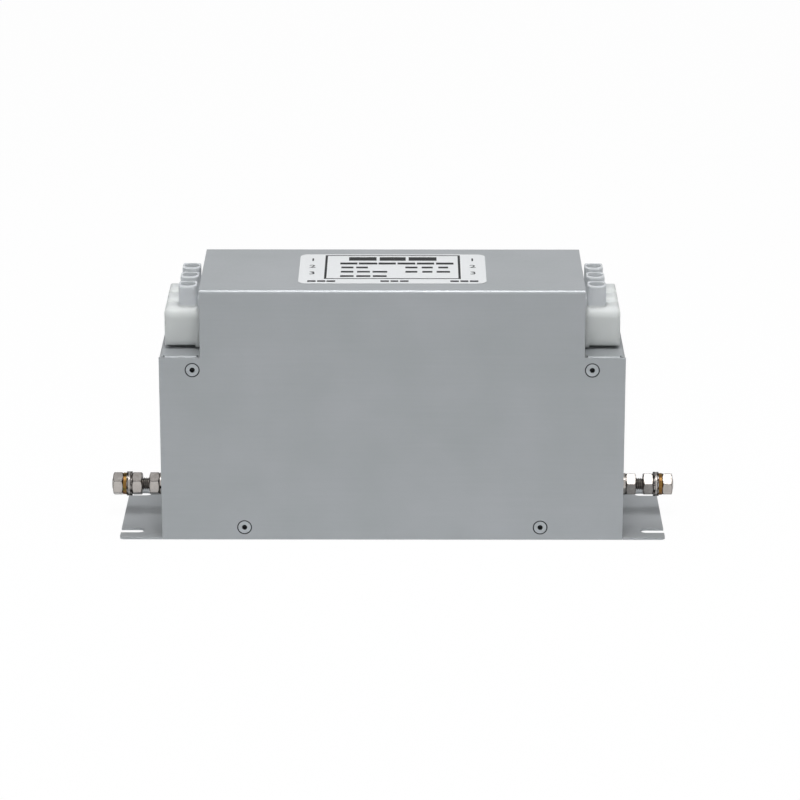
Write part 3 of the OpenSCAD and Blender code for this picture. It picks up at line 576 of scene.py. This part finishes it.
def studioFloor():
    # a pale table that fades to the white backdrop for the camera and keeps the shadow
    floor = {"half": 9.0, "below": 0.0002, "tone": "#f2f3f4", "lift": 0.97}
    mesh = bpy.data.meshes.new("studioFloor")
    h = floor["half"]
    mesh.from_pydata([(-h, -h, 0), (h, -h, 0), (h, h, 0), (-h, h, 0)], [], [(0, 1, 2, 3)])
    piece = bpy.data.objects.new("studioFloor", mesh)
    piece.location.z = -floor["below"]
    scene.collection.objects.link(piece)
    material, tree = newMaterial("paleTable")
    matt = addNode(tree, "ShaderNodeBsdfDiffuse", inputs={"Color": linear(floor["tone"])})
    glow = addNode(tree, "ShaderNodeEmission", inputs={"Color": (1, 1, 1, 1), "Strength": 1.0})
    path = addNode(tree, "ShaderNodeLightPath").outputs
    amount = compute(tree, "MULTIPLY", path["Is Camera Ray"], floor["lift"])
    both = addNode(tree, "ShaderNodeMixShader", inputs={
        0: amount, 1: matt.outputs[0], 2: glow.outputs[0]})
    addNode(tree, "ShaderNodeOutputMaterial", inputs={"Surface": both.outputs[0]})
    mesh.materials.append(material)


def softbox(name, place, aim, size, power):
    light = bpy.data.lights.new(name, "AREA")
    light.shape = "RECTANGLE"
    light.size, light.size_y = size
    light.energy = power
    lamp = bpy.data.objects.new(name, light)
    lamp.location = place
    lamp.rotation_euler = (Vector(aim) - Vector(place)).to_track_quat("-Z", "Y").to_euler()
    scene.collection.objects.link(lamp)
    return lamp


def studioWorld():
    # the room: soft fill for matt surfaces; in reflections a pale tent in front, a greyer
    # wall behind and dark open sides; white behind everything
    room = {"tone": "#f4f6f8", "fill": 0.17, "wall": 0.6, "front": 0.95,
            "tentFrom": -0.25, "tentTo": 0.25, "side": 0.06, "sideFrom": 0.4, "sideTo": 0.75}
    world = bpy.data.worlds.new("studio")
    scene.world = world
    world.use_nodes = True
    tree = world.node_tree
    tree.nodes.clear()
    path = addNode(tree, "ShaderNodeLightPath").outputs
    towards = addNode(tree, "ShaderNodeTexCoord").outputs["Generated"]
    axes = split(tree, towards)
    forward = compute(tree, "MULTIPLY", axes["Y"], -1.0)
    around = span(tree, forward, room["wall"], room["front"], room["tentFrom"], room["tentTo"])
    sideways = compute(tree, "ABSOLUTE", axes["X"])
    opening = span(tree, sideways, 1.0, room["side"], room["sideFrom"], room["sideTo"])
    glow = compute(tree, "MULTIPLY", around, opening)
    fill = addNode(tree, "ShaderNodeBackground",
                   inputs={"Color": linear(room["tone"]), "Strength": room["fill"]})
    tent = addNode(tree, "ShaderNodeBackground", inputs={"Color": linear(room["tone"]), "Strength": glow})
    white = addNode(tree, "ShaderNodeBackground", inputs={"Color": (1, 1, 1, 1), "Strength": 1.0})
    lit = addNode(tree, "ShaderNodeMixShader", inputs={
        0: path["Is Glossy Ray"], 1: fill.outputs[0], 2: tent.outputs[0]})
    seen = addNode(tree, "ShaderNodeMixShader", inputs={
        0: path["Is Camera Ray"], 1: lit.outputs[0], 2: white.outputs[0]})
    addNode(tree, "ShaderNodeOutputWorld", inputs={"Surface": seen.outputs[0]})


def studioCamera():
    view = {"place": (0.0082, -1.5817, 0.5961), "pitch": 16.649, "turn": 0.168,
            "lens": 155.5, "sensor": 36, "shiftY": -0.16, "nearest": 0.05, "farthest": 50}
    camera = bpy.data.cameras.new("studioCamera")
    camera.sensor_width = view["sensor"]
    camera.lens = view["lens"]
    camera.shift_y = view["shiftY"]
    camera.clip_start = view["nearest"]
    camera.clip_end = view["farthest"]
    stand = bpy.data.objects.new("studioCamera", camera)
    stand.location = view["place"]
    stand.rotation_euler = (math.radians(90 - view["pitch"]), 0, math.radians(view["turn"]))
    scene.collection.objects.link(stand)
    scene.camera = stand


studioFloor()
# only the short box shows in reflections, where it gives the highlight along the bends
lamps = {
    "highlightBox": {"place": (0.0, -0.36, 1.15), "aim": (0, -0.04, 0.06),
                     "size": (0.3, 0.6), "power": 5.4},
    "overheadSoftbox": {"place": (0.0, -0.12, 1.15), "aim": (0, -0.04, 0.06),
                        "size": (1.5, 0.26), "power": 7.5},
    "frontSoftbox": {"place": (0.0, -1.9, 1.0), "aim": (0, 0, 0.06),
                     "size": (1.6, 0.8), "power": 6.5},
    "rearSoftbox": {"place": (0.0, 1.9, 0.8), "aim": (0, 0, 0.06),
                    "size": (1.6, 0.8), "power": 6.5},
}
for name, lamp in lamps.items():
    softbox(name, **lamp).visible_glossy = name == "highlightBox"
studioWorld()
studioCamera()
scene.view_settings.view_transform = "Standard"
print("studio set")
